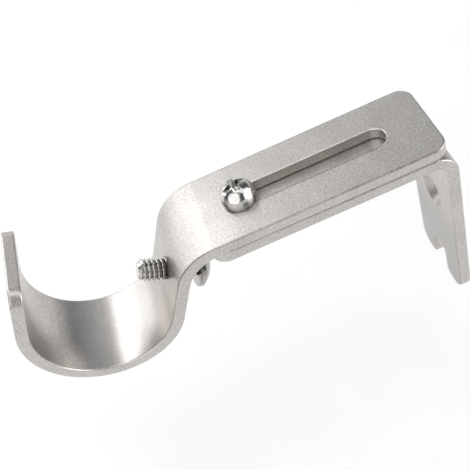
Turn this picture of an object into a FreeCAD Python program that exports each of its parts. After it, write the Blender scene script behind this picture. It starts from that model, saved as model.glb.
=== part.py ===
"""Adjustable bracket that holds a curtain pole off a wall.

Two folded steel straps lie on each other. The wall strap is an angle that is screwed to the wall.
The hook strap has a long slot in its arm and ends in a cradle for the pole. An adjusting screw
clamps the arm to the wall strap, and a clamp screw through the cradle's back wall holds the pole.

Millimetres. +X runs along the pole, +Y points to the wall and +Z is up. The origin is on the wall,
at the axis of the hole for the wall screw.
"""
import FreeCAD, Part
import math
import os

# Strip that both straps are folded from
strip_width = 20.0
strip_thickness = 2.65
strap_clearance = 0.1
edge_round = 0.4
corner_radius = 3.2

# Wall strap: an upright plate against the wall and a shelf that the arm lies on
plate_height = 48.3
shelf_past_arm_bend = 1.46
shelf_bend_inside = 2.5
shelf_corner_radius = 3.6
hole_below_top = 19.9
foot_corner_radius = 4.0
hole_radius = 2.3
countersink_radius = 4.4
countersink_depth = 2.0
notch_width = 5.3
notch_depth = 9.4
notch_mouth_radius = 2.4

# Hook strap, from its end near the wall to the lip of the cradle
arm_wall_gap = 1.34
arm_length = 49.2
drop_bend_outside = 11.4
drop_angle = 63.0
drop_length = 10.1
cradle_back_radius = 14.2
cradle_back_angle = 124.0
cradle_front_radius = 15.9
cradle_front_angle = 52.0
lip_length = 11.9

# Slot in the arm, from its end near the wall
slot_width = 5.1
slot_from_end = 9.2
slot_before_bend = 5.3
slot_edge_round = 0.35

# Adjusting screw
adjuster_radius = 2.0
adjuster_head_radius = 3.75
adjuster_head_height = 4.4
adjuster_rim_height = 0.8
adjuster_length = 9.0
adjuster_from_slot_end = 2.9
adjuster_turn = 105.0

# Clamp screw
clamp_radius = 2.5
clamp_head_radius = 4.8
clamp_head_height = 3.0
clamp_rim_height = 1.0
clamp_length = 12.8
clamp_reach = 5.95
clamp_down_drop = 4.8
clamp_turn = 20.0

# Both screws
thread_clearance = 0.05
screw_tip_chamfer = 0.9
drive_slot_width = 1.2
drive_slot_depth = 1.1
drive_cross_length = 4.6
drive_cross_depth = 1.8

Vector = FreeCAD.Vector
X_AXIS = Vector(1, 0, 0)
Y_AXIS = Vector(0, 1, 0)
Z_AXIS = Vector(0, 0, 1)

# Two lengths that differ by less than this are taken as one
match = 0.01

half_width = strip_width / 2
shelf_top = hole_below_top
shelf_underside = shelf_top - strip_thickness
arm_underside = shelf_top + strap_clearance
arm_top = arm_underside + strip_thickness
arm_bend_start = -arm_wall_gap - arm_length
shelf_length = shelf_past_arm_bend - arm_bend_start
slot_wall_end = -arm_wall_gap - slot_from_end
slot_cradle_end = arm_bend_start + slot_before_bend
adjuster_y = slot_cradle_end + adjuster_from_slot_end


def point_at(start, heading, ahead, up):
    """Point in the side view, from start: ahead along the heading, and up from the strip's upper face."""
    angle = math.radians(heading)
    forward = Vector(0, -math.cos(angle), -math.sin(angle))
    upward = Vector(0, -math.sin(angle), math.cos(angle))
    return start + forward * ahead + upward * up


def folded_strip(start, heading, folds):
    """Solid strip whose upper face follows the folds, and the place and heading after each fold.

    A heading is 0 away from the wall, 90 straight down and -90 straight up. A fold is a length, or
    a radius of the upper face and an angle, which turns the strip down if positive and up if not.
    """
    place = start
    upper = []
    lower = []
    ends = [(place, heading)]
    for fold in folds:
        if len(fold) == 1:
            length = fold[0]
            target = point_at(place, heading, length, 0)
            upper.append(Part.LineSegment(place, target))
            lower.append(Part.LineSegment(point_at(place, heading, 0, -strip_thickness),
                                          point_at(target, heading, 0, -strip_thickness)))
        else:
            radius, angle = fold
            toward_centre = -radius if angle > 0 else radius
            centre = point_at(place, heading, 0, toward_centre)
            stations = []
            for share in (0.0, 0.5, 1.0):
                turned = heading + angle * share
                on_upper = point_at(centre, turned, 0, -toward_centre)
                stations.append((on_upper, point_at(on_upper, turned, 0, -strip_thickness)))
            upper.append(Part.Arc(*[station[0] for station in stations]))
            lower.append(Part.Arc(*[station[1] for station in stations]))
            heading += angle
            target = stations[-1][0]
        place = target
        ends.append((place, heading))
    first_end = Part.LineSegment(lower[0].StartPoint, upper[0].StartPoint)
    last_end = Part.LineSegment(upper[-1].EndPoint, lower[-1].EndPoint)
    outline = [first_end] + upper + [last_end] + lower
    wire = Part.Wire(Part.__sortEdges__([curve.toShape() for curve in outline]))
    solid = Part.Face(wire).extrude(X_AXIS * strip_width)
    solid.translate(X_AXIS * -half_width)
    return solid, ends


def rounded_corners(solid, near, radius):
    """Round the strip's two corners at one end: the short edges at the sides, closest to a point."""
    corners = []
    for edge in solid.Edges:
        middle = edge.valueAt((edge.FirstParameter + edge.LastParameter) / 2)
        at_side = abs(abs(middle.x) - half_width) < match
        if at_side and abs(edge.Length - strip_thickness) < match:
            if Vector(0, middle.y, middle.z).distanceToPoint(near) < strip_thickness:
                corners.append(edge)
    return solid.makeFillet(radius, corners)


def rounded_outline(solid, foot_level=None):
    """Break the sharp edges of the strip's outline, all the way round both broad faces.

    Edges below the foot level are those of a notched foot, which are part of the outline too.
    """
    outline = []
    for edge in solid.Edges:
        long_enough = edge.Length > strip_thickness + match
        at_side = all(abs(abs(vertex.X) - half_width) < match for vertex in edge.Vertexes)
        if long_enough and at_side:
            outline.append(edge)
        elif foot_level is not None and edge.BoundBox.ZMax < foot_level and edge.BoundBox.YLength < match:
            outline.append(edge)
    return solid.makeFillet(edge_round, outline)


def upright_slot(radius, y_one, y_two, bottom, height):
    """Round-ended bar that cuts a slot along Y."""
    low_y = min(y_one, y_two) + radius
    high_y = max(y_one, y_two) - radius
    bar = Part.makeBox(2 * radius, high_y - low_y, height, Vector(-radius, low_y, bottom))
    for y in (low_y, high_y):
        bar = bar.fuse(Part.makeCylinder(radius, height, Vector(0, y, bottom)))
    return bar.removeSplitter()


def rounded_slot_edges(solid):
    """Break the slot's edges on the arm's upper face and underside."""
    broken = []
    for edge in solid.Edges:
        inside_width = all(abs(vertex.X) < slot_width / 2 + match for vertex in edge.Vertexes)
        for level in (arm_underside, arm_top):
            if inside_width and all(abs(vertex.Z - level) < match for vertex in edge.Vertexes):
                broken.append(edge)
    return solid.makeFillet(slot_edge_round, broken)


def pan_head_screw(radius, length, head_radius, head_height, rim_height):
    """Screw along Z, with its head's underside at height 0 and its shank below."""
    profile = [
        Vector(0, 0, -length),
        Vector(radius - screw_tip_chamfer, 0, -length),
        Vector(radius, 0, screw_tip_chamfer - length),
        Vector(radius, 0, 0),
        Vector(head_radius, 0, 0),
        Vector(head_radius, 0, rim_height),
    ]
    edges = [Part.LineSegment(a, b).toShape() for a, b in zip(profile, profile[1:])]
    dome_height = head_height - rim_height
    dome_radius = (head_radius ** 2 + dome_height ** 2) / (2 * dome_height)
    half_way = math.asin(head_radius / dome_radius) / 2
    shoulder = Vector(dome_radius * math.sin(half_way), 0,
                      head_height - dome_radius * (1 - math.cos(half_way)))
    top = Vector(0, 0, head_height)
    edges.append(Part.Arc(profile[-1], shoulder, top).toShape())
    edges.append(Part.LineSegment(top, profile[0]).toShape())
    face = Part.Face(Part.Wire(edges))
    screw = face.revolve(Vector(0, 0, 0), Z_AXIS, 360)
    return screw.cut(drive_recess(head_radius, head_height))


def drive_recess(head_radius, head_height):
    """Straight slot across the head, and a tapered cross at its middle."""
    floor = head_height - drive_slot_depth
    slot = Part.makeBox(2 * head_radius, drive_slot_width, drive_slot_depth,
                        Vector(-head_radius, -drive_slot_width / 2, floor))
    half = drive_slot_width / 2
    reach = drive_cross_length / 2
    arm = Part.makePolygon([
        Vector(-reach, -half, head_height),
        Vector(reach, -half, head_height),
        Vector(half, -half, head_height - drive_cross_depth),
        Vector(-half, -half, head_height - drive_cross_depth),
        Vector(-reach, -half, head_height),
    ])
    wing = Part.Face(arm).extrude(Y_AXIS * drive_slot_width)
    across = wing.copy()
    across.rotate(Vector(0, 0, 0), Z_AXIS, 90)
    return slot.fuse([wing, across])


def wall_strap():
    """Angle with the wall plate, its countersunk hole and the notch open at its foot."""
    bend_outside = shelf_bend_inside + strip_thickness
    foot = Vector(0, 0, shelf_top - plate_height)
    solid, ends = folded_strip(foot, -90.0, [
        (plate_height - bend_outside,),
        (bend_outside, 90.0),
        (shelf_length - bend_outside,),
    ])
    for place, heading, radius in ((*ends[0], foot_corner_radius), (*ends[-1], shelf_corner_radius)):
        solid = rounded_corners(solid, point_at(place, heading, 0, -strip_thickness / 2), radius)
    solid = rounded_outline(solid.cut(notch(foot.z)), foot.z + notch_depth + match)
    hole = Part.makeCylinder(hole_radius, strip_thickness * 2, Vector(0, strip_thickness / 2, 0), -Y_AXIS)
    sink = Part.makeCone(hole_radius, countersink_radius, countersink_depth,
                         Vector(0, countersink_depth - strip_thickness, 0), -Y_AXIS)
    tapped = Part.makeCylinder(adjuster_radius + thread_clearance, strip_thickness * 2,
                               Vector(0, adjuster_y, shelf_underside - strip_thickness / 2))
    return solid.cut([hole, sink, tapped])


def notch(foot):
    """Cutter for the open slot in the plate's foot, with a flared mouth."""
    radius = notch_width / 2
    mouth = notch_mouth_radius
    bulge = mouth * (1 - math.sqrt(0.5))
    shoulder = foot + notch_depth - radius
    outline = []
    for side in (1, -1):
        flare_start = Vector(side * radius, 0, foot + mouth)
        outline.append(Part.LineSegment(Vector(side * radius, 0, shoulder), flare_start))
        outline.append(Part.Arc(flare_start,
                                Vector(side * (radius + bulge), 0, foot + bulge),
                                Vector(side * (radius + mouth), 0, foot)))
    outline.append(Part.Arc(Vector(-radius, 0, shoulder),
                            Vector(0, 0, shoulder + radius),
                            Vector(radius, 0, shoulder)))
    outline.append(Part.LineSegment(Vector(-radius - mouth, 0, foot),
                                    Vector(radius + mouth, 0, foot)))
    wire = Part.Wire(Part.__sortEdges__([curve.toShape() for curve in outline]))
    return Part.Face(wire).extrude(Y_AXIS * -strip_thickness)


def hook_strap():
    """Slotted arm that drops to the cradle, and where the clamp screw goes through its back wall."""
    start = Vector(0, -arm_wall_gap, arm_top)
    solid, ends = folded_strip(start, 0.0, [
        (arm_length,),
        (drop_bend_outside, drop_angle),
        (drop_length,),
        (cradle_back_radius, -cradle_back_angle),
        (cradle_front_radius, -cradle_front_angle),
        (lip_length,),
    ])
    for place, heading in (ends[0], ends[-1]):
        solid = rounded_corners(solid, point_at(place, heading, 0, -strip_thickness / 2), corner_radius)
    solid = rounded_outline(solid)
    solid = solid.cut(upright_slot(slot_width / 2, slot_wall_end, slot_cradle_end,
                                   arm_underside - strip_thickness, 3 * strip_thickness))
    solid = rounded_slot_edges(solid)
    drop_start, heading = ends[2]
    seat = point_at(drop_start, heading, clamp_down_drop, 0)
    toward_pole = point_at(Vector(0, 0, 0), heading, 0, 1)
    tapped = Part.makeCylinder(clamp_radius + thread_clearance, 3 * strip_thickness,
                               seat + toward_pole * -2 * strip_thickness, toward_pole)
    solid = solid.cut(tapped)
    return solid, seat, toward_pole


def adjusting_screw():
    screw = pan_head_screw(adjuster_radius, adjuster_length, adjuster_head_radius,
                           adjuster_head_height, adjuster_rim_height)
    screw.rotate(Vector(0, 0, 0), Z_AXIS, adjuster_turn)
    screw.translate(Vector(0, adjuster_y, arm_top))
    return screw


def clamp_screw(seat, toward_pole):
    """Clamp screw, with its tip in the cradle and its head behind the cradle's back wall."""
    screw = pan_head_screw(clamp_radius, clamp_length, clamp_head_radius,
                           clamp_head_height, clamp_rim_height)
    screw.rotate(Vector(0, 0, 0), Z_AXIS, clamp_turn)
    away = toward_pole * -1
    lean = math.degrees(math.atan2(away.y, away.z))
    screw.rotate(Vector(0, 0, 0), X_AXIS, -lean)
    screw.translate(seat + away * (clamp_length - clamp_reach))
    return screw


hook, clamp_seat, clamp_direction = hook_strap()
nodes = {
    "wall_strap": wall_strap(),
    "hook_strap": hook,
    "adjusting_screw": adjusting_screw(),
    "clamp_screw": clamp_screw(clamp_seat, clamp_direction),
}

os.makedirs("parts", exist_ok=True)
for name, shape in nodes.items():
    shape.exportStep("parts/" + name + ".step")
    print(name, "valid", shape.isValid(), "solids", len(shape.Solids), "volume", round(shape.Volume, 2))
print("clamp seat", clamp_seat, "direction", clamp_direction)
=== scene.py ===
"""Looks for the adjustable curtain pole bracket: satin nickel straps and bright nickel screws."""
import math
import bmesh
import bpy
from mathutils import Matrix, Vector


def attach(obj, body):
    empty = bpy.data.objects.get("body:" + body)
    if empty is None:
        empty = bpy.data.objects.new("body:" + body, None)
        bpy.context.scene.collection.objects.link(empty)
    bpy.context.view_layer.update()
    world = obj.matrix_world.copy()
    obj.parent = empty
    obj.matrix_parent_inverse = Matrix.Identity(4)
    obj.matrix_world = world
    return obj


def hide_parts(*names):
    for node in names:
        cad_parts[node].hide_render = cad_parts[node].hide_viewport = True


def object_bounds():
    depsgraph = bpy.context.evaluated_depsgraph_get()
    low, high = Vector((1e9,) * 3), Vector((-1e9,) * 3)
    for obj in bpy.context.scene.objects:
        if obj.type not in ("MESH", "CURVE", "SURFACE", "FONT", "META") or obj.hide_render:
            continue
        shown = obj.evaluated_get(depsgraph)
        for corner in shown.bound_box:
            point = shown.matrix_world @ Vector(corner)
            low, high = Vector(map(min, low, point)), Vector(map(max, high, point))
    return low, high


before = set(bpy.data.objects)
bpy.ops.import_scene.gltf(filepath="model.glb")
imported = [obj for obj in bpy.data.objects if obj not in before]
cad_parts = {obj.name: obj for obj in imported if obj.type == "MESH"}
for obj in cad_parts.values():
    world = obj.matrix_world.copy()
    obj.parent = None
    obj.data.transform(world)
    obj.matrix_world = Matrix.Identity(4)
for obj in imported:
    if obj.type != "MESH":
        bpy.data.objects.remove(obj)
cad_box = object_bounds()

MM = 0.001
UP = Vector((0, 0, 1))

# Camera, solved from the photograph's edges: angles in radians, focal length and width in pixels
CAMERA_PLACE = Vector((104.32, -40.41, 132.82)) * MM
CAMERA_AZIMUTH = 1.628
CAMERA_ELEVATION = 0.855
CAMERA_ROLL = -0.458
PHOTO_FOCAL_LENGTH = 753.66
PHOTO_WIDTH = 470.0
SENSOR_WIDTH = 36.0
CLIP_START, CLIP_END = 0.005, 20.0

# Lamps: name, azimuth and elevation in degrees, and watts
LAMPS = (
    ("key_high", -150, 55, 0.84),
    ("key_middle", -135, 42, 0.46),
    ("key_low", -135, 18, 0.50),
    ("front_left", -120, 5, 0.19),
    ("far_side", 180, 30, 0.17),
    ("near_side", 0, 55, 0.18),
    ("back_low", 60, 5, 0.98),
    ("back_high", 60, 55, 0.43),
    ("top", 0, 88, 1.11),
)
LAMP_TARGET = Vector((0.0, -45.0, 10.0)) * MM
LAMP_DISTANCE = 0.7
LAMP_SIDE = 0.35

# Room: cool dark grey, a pale horizon that ends at a height, and soft round windows
ROOM_COLOUR = (0.084, 0.096, 0.107)
HORIZON_LEVEL = 0.78
HORIZON_FADE = 0.12
# Windows: azimuth, elevation, inner and outer radius in degrees, and strength
WINDOWS = (
    (-38, 28, 30, 42, 1.4),
    (65, 8, 24, 36, 2.2),
    (180, 25, 10, 60, 0.55),
)

# Floor: how far below the part, half its side, and its paper
FLOOR_DROP = 45 * MM
FLOOR_REACH = 6.0
FLOOR_NOISE = (60.0, 3.0, 0.5)
FLOOR_BAND = (0.3, 0.7)
FLOOR_TONES = ((0.952, 0.947, 0.942), (0.970, 0.965, 0.960))
FLOOR_ROUGHNESS = 0.9
FLOOR_SPECULAR = 0.1

# Clamp screw: where its axis meets the inner face of the cradle's back wall, and which way its tip points
CLAMP_SEAT = Vector((0.0, -62.8766, 12.1487)) * MM
CLAMP_AXIS = Vector((0.0, -0.8910065, 0.4539905))
CLAMP_REACH = 5.95 * MM
CLAMP_TURN = math.radians(20.0)
CLAMP_LENGTH = 12.8 * MM
CLAMP_CREST = 2.5 * MM

# Adjusting screw: where its head sits on the arm
ADJUSTER_SEAT = Vector((0.0, -42.34, 22.65)) * MM
ADJUSTER_TURN = math.radians(105.0)
ADJUSTER_LENGTH = 9.0 * MM
ADJUSTER_CREST = 2.0 * MM

# Threads: depth and pitch. Heads: radius, height and height of the rim
CLAMP_THREAD = (0.55 * MM, 1.0 * MM)
CLAMP_HEAD = (4.8 * MM, 3.0 * MM, 1.0 * MM)
ADJUSTER_THREAD = (0.4 * MM, 0.7 * MM)
ADJUSTER_HEAD = (3.75 * MM, 4.4 * MM, 0.8 * MM)

# Both screws: tip, slot and cross, rounding of the rim and of the edges
TIP_CHAMFER = 0.9 * MM
SLOT_WIDTH = 1.2 * MM
SLOT_DEPTH = 1.1 * MM
CROSS_LENGTH = 4.6 * MM
CROSS_DEPTH = 1.8 * MM
RIM_EASE = 0.12 * MM
EDGE_BEVEL = 0.09 * MM
BEVEL_STEPS = 3
BEVEL_ABOVE = 32
# Thread's flank: how steep, and how wide its root is
FLANK_SLOPE = 1.35
ROOT_SHARE = 0.12
# How far the cutters run past the head, as shares of its sizes, and the cross's width as a share of the slot's
SLOT_PAST_RIM = 1.2
SLOT_PAST_CROWN = 1.3
CROSS_PAST_CROWN = 1.002
CROSS_WIDTH_SHARE = 1.02
# Radius at which a turned shape meets its axis
AXIS_RADIUS = 0.001 * MM

# Fineness of the meshes, and the angles in degrees above which an edge is sharp
THREAD_SIDES = 72
STEPS_PER_TURN = 16
HEAD_SIDES = 96
DOME_STEPS = 18
SHANK_SHARP_ABOVE = 35
HEAD_SHARP_ABOVE = 30

# Satin nickel: noises as features per metre, detail and roughness, bands of them, and what these turn into
GRAIN_NOISE = (2300.0, 3.0, 0.65)
GRAIN_BAND = (0.36, 0.64)
CLOUD_NOISE = (160.0, 2.0, 0.5)
CLOUD_BAND = (0.30, 0.70)
SATIN_TONES = ((0.605, 0.573, 0.542), (0.668, 0.638, 0.609))
SPECK_TONES = ((0.70, 0.70, 0.70), (1.0, 1.0, 1.0))
SMOOTH_CONTRAST = (0.91, 1.09)
BLASTED_ROUGHNESS = (0.30, 0.42)
SMOOTH_ROUGHNESS = (0.26, 0.33)
SATIN_BUMP = (0.25, 0.05 * MM)

# Where the pole has rubbed the cradle smoother: middle, and reach of the full and of the fading part
RUBBED_TONE = 0.865
RUBBED_ALONG = (-76 * MM, 8 * MM, 15 * MM)
RUBBED_ACROSS = (0 * MM, 9.3 * MM, 9.8 * MM)

# The plate's face is smoother, and painted shade darkens it towards the foot: how much a face has to point
# into the room, and the heights between which that sets in, downwards
PLATE_SHADE_TONE = 0.58
PLATE_SHADE_FACING = (0.5, 0.8)
PLATE_SHADE_HEIGHT = (12 * MM, -12 * MM)

# Thin line of painted shade on the arm's upper edges: its place off the middle, full and fading reach, the
# heights between which it sets in, and how much a face has to point up
EDGE_SHADE_LINE = (9.78 * MM, 0.08 * MM, 0.24 * MM)
EDGE_SHADE_LINE_HEIGHT = (13 * MM, 18 * MM)
EDGE_SHADE_LINE_SLOPE = (0.2, 0.5)
# The same painted shade line along the slot's near edge: middle, full and fading reach
SLOT_SHADE_LINE_ACROSS = (2.88 * MM, 0.12 * MM, 0.28 * MM)
SLOT_SHADE_LINE_ALONG = (-25.6 * MM, 12.0 * MM, 13.6 * MM)
# Dark tones and strength of the painted shade line
EDGE_SHADE_TONES = ((0.16, 0.14, 0.13), (0.30, 0.27, 0.25))
EDGE_SHADE_STRENGTH = (1.1, 0.2)

# The arm's end bows gently into its bend: from where to where along Y, and how far it falls
BOW_ALONG = (-43 * MM, -59 * MM)
BOW_FALL = -0.55 * MM

# Bright nickel: scuffs, its tones, a darker copy of them that paints shade on the clamp screw's head, and
# painted shade in the crevices
SCUFF_NOISE = (900.0, 4.0, 0.6)
SCUFF_BAND = (0.35, 0.65)
BRIGHT_TONES = ((0.60, 0.585, 0.56), (0.72, 0.705, 0.685))
BRIGHT_HOLLOW_SHADE = (0.14, 0.13, 0.12)
# Darker copy of the bright tones as painted shade, with weaker crevice shade
SHADED_COPY_TONES = ((0.32, 0.305, 0.285), (0.44, 0.425, 0.40))
SHADED_COPY_HOLLOW_SHADE = (0.90, 0.86, 0.81)
BRIGHT_ROUGHNESS = (0.10, 0.22)
BRIGHT_BUMP = (0.12, 0.04 * MM)
CREVICE_SHADE_REACH = 4.0 * MM
CREVICE_SHADE_BAND = (0.20, 0.80)
UNSHADED = (1.0, 1.0, 1.0)


def node_tree(name):
    """New material with an empty node tree, and a Principled shader joined to its output."""
    material = bpy.data.materials.new(name)
    material.use_nodes = True
    tree = material.node_tree
    tree.nodes.clear()
    shader = tree.nodes.new("ShaderNodeBsdfPrincipled")
    output = tree.nodes.new("ShaderNodeOutputMaterial")
    tree.links.new(shader.outputs["BSDF"], output.inputs["Surface"])
    return material, tree, shader


def noise(tree, place, scale, detail, roughness):
    """Noise laid in object space, with its scale in features per metre."""
    texture = tree.nodes.new("ShaderNodeTexNoise")
    texture.inputs["Scale"].default_value = scale
    texture.inputs["Detail"].default_value = detail
    texture.inputs["Roughness"].default_value = roughness
    tree.links.new(place.outputs["Object"], texture.inputs["Vector"])
    return texture.outputs["Fac"]


def ramp(tree, factor, band, tones):
    """Colour that turns from the first tone into the second over a band of a factor."""
    node = tree.nodes.new("ShaderNodeValToRGB")
    for element, position, tone in zip(node.color_ramp.elements, band, tones):
        element.position = position
        element.color = (*tone, 1.0)
    tree.links.new(factor, node.inputs["Fac"])
    return node.outputs["Color"]


def map_range(tree, value, source=(0.0, 1.0), target=(0.0, 1.0), curve="LINEAR"):
    """Value mapped from one range onto another and held at its ends."""
    node = tree.nodes.new("ShaderNodeMapRange")
    node.interpolation_type = curve
    for name, number in zip(("From Min", "From Max", "To Min", "To Max"), (*source, *target)):
        node.inputs[name].default_value = number
    tree.links.new(value, node.inputs["Value"])
    return node.outputs["Result"]


def calculate(tree, operation, one, two=0.0):
    """Math node over two values, each a number or another node's output."""
    node = tree.nodes.new("ShaderNodeMath")
    node.operation = operation
    for socket, value in zip(node.inputs, (one, two)):
        if isinstance(value, float):
            socket.default_value = value
        else:
            tree.links.new(value, socket)
    return node.outputs["Value"]


def product(tree, first, *others):
    """All values multiplied."""
    for other in others:
        first = calculate(tree, "MULTIPLY", first, other)
    return first


def axes(tree, vector):
    """X, Y and Z of a vector."""
    split = tree.nodes.new("ShaderNodeSeparateXYZ")
    tree.links.new(vector, split.inputs["Vector"])
    return split.outputs["X"], split.outputs["Y"], split.outputs["Z"]


def mix(tree, mode, factor, one, two):
    """Colour mix of two outputs, by a number or by another output."""
    node = tree.nodes.new("ShaderNodeMix")
    node.data_type = "RGBA"
    node.blend_type = mode
    if isinstance(factor, float):
        node.inputs["Factor"].default_value = factor
    else:
        tree.links.new(factor, node.inputs["Factor"])
    tree.links.new(one, node.inputs["A"])
    tree.links.new(two, node.inputs["B"])
    return node.outputs["Result"]


def bumped(tree, height, strength, distance):
    """Bump node raised by a height."""
    node = tree.nodes.new("ShaderNodeBump")
    node.inputs["Strength"].default_value = strength
    node.inputs["Distance"].default_value = distance
    tree.links.new(height, node.inputs["Height"])
    return node


def share_near(tree, value, middle, full, faded):
    """1 up to the first distance from a middle, 0 beyond the second."""
    distance = calculate(tree, "ABSOLUTE", calculate(tree, "SUBTRACT", value, middle))
    return map_range(tree, distance, (faded, full))


def rubbed_share(tree, place):
    """1 at the bottom of the cradle, 0 on its edges and on the rest of the hook strap."""
    x, y = axes(tree, place.outputs["Object"])[:2]
    return product(tree, share_near(tree, y, *RUBBED_ALONG), share_near(tree, x, *RUBBED_ACROSS))


def plate_smooth_and_shade_share(tree, place):
    """1 on the lower part of the plate's face, where painted shade darkens it and it is smoother, 0 elsewhere
    on the wall strap.
    """
    height = axes(tree, place.outputs["Object"])[2]
    to_wall = axes(tree, place.outputs["Normal"])[1]
    to_room = calculate(tree, "MULTIPLY", to_wall, -1.0)
    return product(tree, map_range(tree, to_room, PLATE_SHADE_FACING), map_range(tree, height, PLATE_SHADE_HEIGHT))


def edge_shade_share(tree, place, grain):
    """Share of a broken thin line of painted shade along the upper edges of the arm and its slot, 0 elsewhere.
    """
    x, y, z = axes(tree, place.outputs["Object"])
    upward = axes(tree, place.outputs["Normal"])[2]
    outline = share_near(tree, calculate(tree, "ABSOLUTE", x), *EDGE_SHADE_LINE)
    slot = product(tree, share_near(tree, x, *SLOT_SHADE_LINE_ACROSS), share_near(tree, y, *SLOT_SHADE_LINE_ALONG))
    return product(tree, calculate(tree, "ADD", outline, slot),
                   map_range(tree, z, EDGE_SHADE_LINE_HEIGHT),
                   map_range(tree, upward, EDGE_SHADE_LINE_SLOPE),
                   map_range(tree, grain, target=EDGE_SHADE_STRENGTH))


def bowed_normal(tree, place):
    """Normal of the hook strap with the gentle bow before its bend, whose fall counts in metres."""
    y = axes(tree, place.outputs["Object"])[1]
    fall = map_range(tree, y, BOW_ALONG, (0.0, BOW_FALL), "SMOOTHSTEP")
    return bumped(tree, fall, strength=1.0, distance=1.0).outputs["Normal"]


def satin_nickel(name, smooth_and_shade_share, smooth_and_shade_tone, has_arm):
    """Fine-blasted nickel plate: warm light grey with a fine grain, smoother and of a share's own tone where
    it says so; on the plate's face that tone is painted shade.

    The strap that has the arm has the thin line of painted shade on its edges and the bow before its bend too.
    """
    material, tree, shader = node_tree(name)
    place = tree.nodes.new("ShaderNodeTexCoord")
    grain = noise(tree, place, *GRAIN_NOISE)
    cloud = noise(tree, place, *CLOUD_NOISE)
    smooth_and_shade_tones = [(smooth_and_shade_tone * contrast,) * 3 for contrast in SMOOTH_CONTRAST]
    # Where the share is 1 the grain takes the share's tone: a rubbed finish in the cradle, painted shade on
    # the plate's face
    smoothness_and_shade = smooth_and_shade_share(tree, place)
    texture = mix(tree, "MIX", smoothness_and_shade,
                  ramp(tree, grain, GRAIN_BAND, SPECK_TONES),
                  ramp(tree, grain, GRAIN_BAND, smooth_and_shade_tones))
    colour = mix(tree, "MULTIPLY", 1.0, ramp(tree, cloud, CLOUD_BAND, SATIN_TONES), texture)
    surface = bumped(tree, grain, *SATIN_BUMP)
    if has_arm:
        # Thin dark line of painted shade along the arm's upper edges and the slot's near edge
        edge_shade_colour = ramp(tree, cloud, CLOUD_BAND, EDGE_SHADE_TONES)
        colour = mix(tree, "MIX", edge_shade_share(tree, place, grain), colour, edge_shade_colour)
        tree.links.new(bowed_normal(tree, place), surface.inputs["Normal"])
    roughness = mix(tree, "MIX", smoothness_and_shade,
                    map_range(tree, grain, target=BLASTED_ROUGHNESS),
                    map_range(tree, grain, target=SMOOTH_ROUGHNESS))
    tree.links.new(colour, shader.inputs["Base Color"])
    tree.links.new(roughness, shader.inputs["Roughness"])
    tree.links.new(surface.outputs["Normal"], shader.inputs["Normal"])
    shader.inputs["Metallic"].default_value = 1.0
    return material


def bright_nickel(name, tones, hollow_shade):
    """Polished nickel plate with handling scuffs, and painted shade from ambient occlusion in its crevices and
    near other parts.
    """
    material, tree, shader = node_tree(name)
    place = tree.nodes.new("ShaderNodeTexCoord")
    scuff = noise(tree, place, *SCUFF_NOISE)
    # Painted shade: ambient occlusion darkens crevices, thread roots and faces near other parts
    occlusion = tree.nodes.new("ShaderNodeAmbientOcclusion")
    occlusion.inputs["Distance"].default_value = CREVICE_SHADE_REACH
    colour = mix(tree, "MULTIPLY", 1.0,
                 ramp(tree, scuff, SCUFF_BAND, tones),
                 ramp(tree, occlusion.outputs["AO"], CREVICE_SHADE_BAND, (hollow_shade, UNSHADED)))
    roughness = map_range(tree, scuff, target=BRIGHT_ROUGHNESS)
    surface = bumped(tree, scuff, *BRIGHT_BUMP)
    tree.links.new(colour, shader.inputs["Base Color"])
    tree.links.new(roughness, shader.inputs["Roughness"])
    tree.links.new(surface.outputs["Normal"], shader.inputs["Normal"])
    shader.inputs["Metallic"].default_value = 1.0
    return material


def ring(shape, radius, height, sides):
    """Ring of vertices round Z."""
    angles = [2 * math.pi * side / sides for side in range(sides)]
    return [shape.verts.new((radius * math.cos(angle), radius * math.sin(angle), height)) for angle in angles]


def close_rings(shape, rings):
    """Faces between rings that follow each other upwards, and a face at each end."""
    for lower, upper in zip(rings, rings[1:]):
        for side in range(len(lower)):
            after = (side + 1) % len(lower)
            shape.faces.new((lower[side], lower[after], upper[after], upper[side]))
    shape.faces.new(list(reversed(rings[0])))
    shape.faces.new(rings[-1])


def threaded_shank(length, crest, depth, pitch):
    """Closed shank down from height 0, with a helical V thread and a chamfered tip."""
    shape = bmesh.new()
    steps = int(length / pitch * STEPS_PER_TURN)
    rings = []
    for step in range(steps + 1):
        height = -length * (1 - step / steps)
        limit = crest - max(0.0, TIP_CHAMFER - (height + length))
        row = []
        for side in range(THREAD_SIDES):
            share = side / THREAD_SIDES
            phase = (height / pitch - share) % 1.0
            rise = 1.0 - abs(2.0 * phase - 1.0)
            flank = min(1.0, max(0.0, rise * FLANK_SLOPE - ROOT_SHARE))
            radius = min(limit, crest - depth * (1.0 - flank))
            angle = 2 * math.pi * share
            row.append(shape.verts.new((radius * math.cos(angle), radius * math.sin(angle), height)))
        rings.append(row)
    close_rings(shape, rings)
    return shape


def revolved(profile, sides):
    """Closed solid turned from a half profile that starts and ends close to the axis."""
    shape = bmesh.new()
    close_rings(shape, [ring(shape, radius, height, sides) for radius, height in profile])
    return shape


def piece_from(shape, name):
    """New object from a mesh under construction."""
    mesh = bpy.data.meshes.new(name)
    bmesh.ops.recalc_face_normals(shape, faces=shape.faces)
    shape.to_mesh(mesh)
    shape.free()
    piece = bpy.data.objects.new(name, mesh)
    bpy.context.scene.collection.objects.link(piece)
    return piece


def box_between(low, high):
    """Closed box."""
    shape = bmesh.new()
    bmesh.ops.create_cube(shape, size=1.0)
    low, high = Vector(low), Vector(high)
    for vertex in shape.verts:
        vertex.co = Vector(((low[i] + high[i]) / 2 + vertex.co[i] * (high[i] - low[i])) for i in range(3))
    return shape


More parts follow.
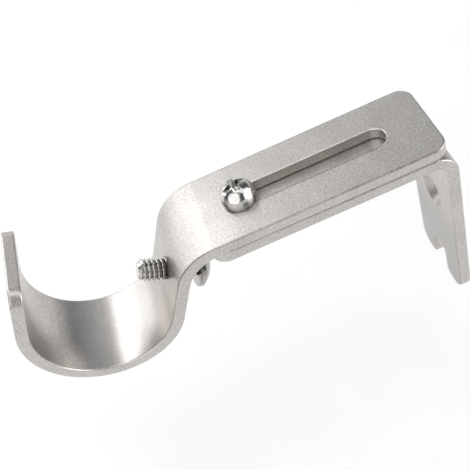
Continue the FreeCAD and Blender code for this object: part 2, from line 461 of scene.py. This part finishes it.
def wedge(reach, half, top, floor):
    """Arm of the cross recess: long at the head's crown, short at its floor."""
    shape = bmesh.new()
    corners = []
    for x, z in ((-reach, top), (reach, top), (half, floor), (-half, floor)):
        corners.append([shape.verts.new((x, y, z)) for y in (-half, half)])
    for one, two in zip(corners, corners[1:] + corners[:1]):
        shape.faces.new((one[0], two[0], two[1], one[1]))
    shape.faces.new([corner[0] for corner in reversed(corners)])
    shape.faces.new([corner[1] for corner in corners])
    return shape


def apply_modifiers(piece):
    """Keep the shape that the modifiers give."""
    bpy.context.view_layer.update()
    graph = bpy.context.evaluated_depsgraph_get()
    made = bpy.data.meshes.new_from_object(piece.evaluated_get(graph))
    piece.modifiers.clear()
    piece.data = made


def cut_away(piece, cutter):
    """Take one piece out of another."""
    modifier = piece.modifiers.new("boolean", "BOOLEAN")
    modifier.operation = "DIFFERENCE"
    modifier.solver = "EXACT"
    modifier.object = cutter
    apply_modifiers(piece)
    bpy.data.objects.remove(cutter)


def dome_profile(radius, height, rim):
    """Half profile of a head: rolled rim, then a part of a ball up to the crown."""
    rise = height - rim
    ball = (radius ** 2 + rise ** 2) / (2 * rise)
    widest = math.asin(radius / ball)
    profile = [(AXIS_RADIUS, 0.0), (radius - RIM_EASE, 0.0), (radius, RIM_EASE), (radius, rim - RIM_EASE)]
    for step in range(DOME_STEPS):
        angle = widest * (1 - step / DOME_STEPS)
        profile.append((ball * math.sin(angle), height - ball * (1 - math.cos(angle))))
    return profile + [(AXIS_RADIUS, height)]


def pan_head(name, radius, height, rim):
    """Domed head with a rolled rim, a straight slot and a cross recess at its middle."""
    head = piece_from(revolved(dome_profile(radius, height, rim), HEAD_SIDES), name)
    half = SLOT_WIDTH / 2
    slot = box_between((-radius * SLOT_PAST_RIM, -half, height - SLOT_DEPTH),
                       (radius * SLOT_PAST_RIM, half, height * SLOT_PAST_CROWN))
    cut_away(head, piece_from(slot, name + "_slot"))
    for turn in (0.0, math.pi / 2):
        arm = piece_from(wedge(CROSS_LENGTH / 2, half * CROSS_WIDTH_SHARE,
                               height * CROSS_PAST_CROWN, height - CROSS_DEPTH), name + "_arm")
        arm.rotation_euler.z = turn
        cut_away(head, arm)
    bevel = head.modifiers.new("edges", "BEVEL")
    bevel.width = EDGE_BEVEL
    bevel.segments = BEVEL_STEPS
    bevel.limit_method = "ANGLE"
    bevel.angle_limit = math.radians(BEVEL_ABOVE)
    bevel.use_clamp_overlap = True
    return head


def smooth(piece, sharp_above):
    """Shade smooth, with sharp edges kept above an angle."""
    for polygon in piece.data.polygons:
        polygon.use_smooth = True
    piece.data.set_sharp_from_angle(angle=math.radians(sharp_above))


def threaded_screw(name, seat, up, turn, length, crest, thread, head_sizes, finishes):
    """Screw in place: head above the seat, shank below, turned about its axis."""
    head = pan_head(name + "_head", *head_sizes)
    shank = piece_from(threaded_shank(length, crest, *thread), name + "_thread")
    lean = UP.rotation_difference(up).to_matrix().to_4x4()
    place = Matrix.Translation(seat) @ lean @ Matrix.Rotation(turn, 4, "Z")
    for piece, sharp_above, finish in zip((shank, head), (SHANK_SHARP_ABOVE, HEAD_SHARP_ABOVE), finishes):
        apply_modifiers(piece)
        piece.data.transform(place)
        piece.data.materials.clear()
        piece.data.materials.append(finish)
        smooth(piece, sharp_above)
        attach(piece, name)
        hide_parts(name)


def direction_from(azimuth, elevation):
    """Unit vector from two angles in degrees, with azimuth 0 at +X and 90 at +Y."""
    azimuth, elevation = math.radians(azimuth), math.radians(elevation)
    return Vector((math.cos(elevation) * math.cos(azimuth),
                   math.cos(elevation) * math.sin(azimuth),
                   math.sin(elevation)))


def lamp(name, azimuth, elevation, power):
    """Square soft lamp that faces the object from a direction."""
    outward = direction_from(azimuth, elevation)
    data = bpy.data.lights.new(name, "AREA")
    data.shape = "SQUARE"
    data.size = LAMP_SIDE
    data.energy = power
    light = bpy.data.objects.new(name, data)
    light.location = LAMP_TARGET + outward * LAMP_DISTANCE
    light.rotation_mode = "QUATERNION"
    light.rotation_quaternion = (-outward).to_track_quat("-Z", "Y")
    bpy.context.scene.collection.objects.link(light)


def window(tree, direction, azimuth, elevation, inner, outer, strength):
    """Round soft window in the room, of full strength within the inner radius."""
    facing = tree.nodes.new("ShaderNodeVectorMath")
    facing.operation = "DOT_PRODUCT"
    facing.inputs[1].default_value = direction_from(azimuth, elevation)
    tree.links.new(direction, facing.inputs[0])
    edge = (math.cos(math.radians(outer)), math.cos(math.radians(inner)))
    return map_range(tree, facing.outputs["Value"], edge, (0.0, strength), "SMOOTHSTEP")


def studio_world():
    """Grey room with soft windows and a pale horizon, the same to the camera and to the metal."""
    world = bpy.data.worlds.new("studio")
    bpy.context.scene.world = world
    world.use_nodes = True
    tree = world.node_tree
    tree.nodes.clear()
    direction = tree.nodes.new("ShaderNodeTexCoord").outputs["Generated"]
    height = axes(tree, direction)[2]
    level = map_range(tree, height, (0.0, HORIZON_FADE), (HORIZON_LEVEL, 0.0))
    for sizes in WINDOWS:
        level = calculate(tree, "ADD", level, window(tree, direction, *sizes))
    glow = tree.nodes.new("ShaderNodeBackground")
    tree.links.new(level, glow.inputs["Color"])
    room = tree.nodes.new("ShaderNodeBackground")
    room.inputs["Color"].default_value = (*ROOM_COLOUR, 1.0)
    both = tree.nodes.new("ShaderNodeAddShader")
    tree.links.new(glow.outputs["Background"], both.inputs[0])
    tree.links.new(room.outputs["Background"], both.inputs[1])
    output = tree.nodes.new("ShaderNodeOutputWorld")
    tree.links.new(both.outputs["Shader"], output.inputs["Surface"])


def studio_floor():
    """Wide white floor that keeps the object's soft shadow."""
    level = cad_box[0].z - FLOOR_DROP
    shape = bmesh.new()
    shape.faces.new([shape.verts.new((x * FLOOR_REACH, y * FLOOR_REACH, level))
                     for x, y in ((-1, -1), (1, -1), (1, 1), (-1, 1))])
    floor = piece_from(shape, "studio_floor")
    material, tree, shader = node_tree("floor_paper")
    place = tree.nodes.new("ShaderNodeTexCoord")
    tint = ramp(tree, noise(tree, place, *FLOOR_NOISE), FLOOR_BAND, FLOOR_TONES)
    tree.links.new(tint, shader.inputs["Base Color"])
    shader.inputs["Roughness"].default_value = FLOOR_ROUGHNESS
    shader.inputs["Specular IOR Level"].default_value = FLOOR_SPECULAR
    floor.data.materials.append(material)


def photo_camera():
    """Camera at the photograph's viewing angle."""
    data = bpy.data.cameras.new("photo_camera")
    data.sensor_width = SENSOR_WIDTH
    data.lens = PHOTO_FOCAL_LENGTH / PHOTO_WIDTH * SENSOR_WIDTH
    data.clip_start, data.clip_end = CLIP_START, CLIP_END
    camera = bpy.data.objects.new("photo_camera", data)
    back = Vector((math.sin(CAMERA_AZIMUTH) * math.cos(CAMERA_ELEVATION),
                   -math.cos(CAMERA_AZIMUTH) * math.cos(CAMERA_ELEVATION),
                   math.sin(CAMERA_ELEVATION)))
    right = (-back).cross(UP).normalized()
    up = right.cross(-back)
    turn = Matrix.Rotation(CAMERA_ROLL, 3, back)
    pose = Matrix((turn @ right, turn @ up, back)).transposed().to_4x4()
    pose.translation = CAMERA_PLACE
    camera.matrix_world = pose
    bpy.context.scene.collection.objects.link(camera)
    bpy.context.scene.camera = camera


strap_finishes = {
    # The wall strap's plate face is darkened towards its foot by painted shade
    "wall_strap": satin_nickel("satin_nickel", plate_smooth_and_shade_share, PLATE_SHADE_TONE, has_arm=False),
    "hook_strap": satin_nickel("satin_nickel_lined", rubbed_share, RUBBED_TONE, has_arm=True),
}
for strap, finish in strap_finishes.items():
    for material_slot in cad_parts[strap].material_slots:
        material_slot.material = finish

bright = bright_nickel("bright_nickel", BRIGHT_TONES, BRIGHT_HOLLOW_SHADE)
# Darker copy of bright nickel whose tones are painted shade, for the clamp screw's head
shaded_copy = bright_nickel("shaded_copy_nickel", SHADED_COPY_TONES, SHADED_COPY_HOLLOW_SHADE)
threaded_screw("adjusting_screw", ADJUSTER_SEAT, UP, ADJUSTER_TURN, ADJUSTER_LENGTH,
               ADJUSTER_CREST, ADJUSTER_THREAD, ADJUSTER_HEAD, (bright, bright))
threaded_screw("clamp_screw", CLAMP_SEAT - CLAMP_AXIS * (CLAMP_LENGTH - CLAMP_REACH), -CLAMP_AXIS,
               CLAMP_TURN, CLAMP_LENGTH, CLAMP_CREST, CLAMP_THREAD, CLAMP_HEAD, (bright, shaded_copy))

studio_world()
studio_floor()
photo_camera()
for lamp_name, azimuth, elevation, watts in LAMPS:
    lamp(lamp_name, azimuth, elevation, watts)

bpy.context.scene.view_settings.view_transform = "Standard"
